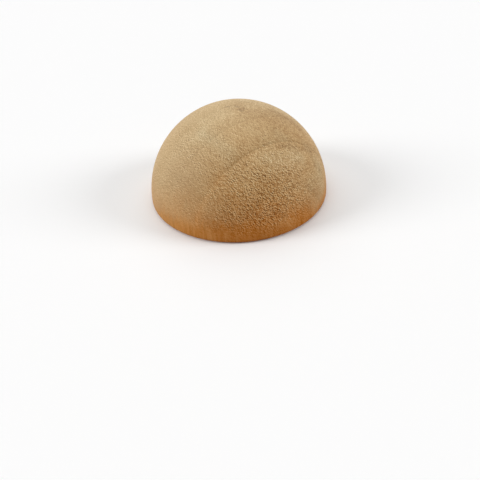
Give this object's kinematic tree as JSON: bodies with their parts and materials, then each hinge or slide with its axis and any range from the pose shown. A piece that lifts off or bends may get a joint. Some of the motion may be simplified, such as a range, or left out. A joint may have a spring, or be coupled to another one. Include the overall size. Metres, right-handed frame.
{
  "type": "wooden half ball",
  "caption": "Solid turned wooden half ball with a smooth dome and a sanded flat face with a lightly rounded edge, standing on the flat face.",
  "frame": {"origin": "centre of the flat face that it stands on", "axes": "+Z is the ball's axis, from the flat face up to the top of the dome; X and Y lie in the flat face"},
  "size_m": [0.04, 0.04, 0.02],
  "materials": {
    "natural_wood": "bare sanded wood, matt, with fine open pores and faint growth rings"
  },
  "bodies": {
    "root": {"half_ball": "natural_wood"}
  },
  "joints": []
}
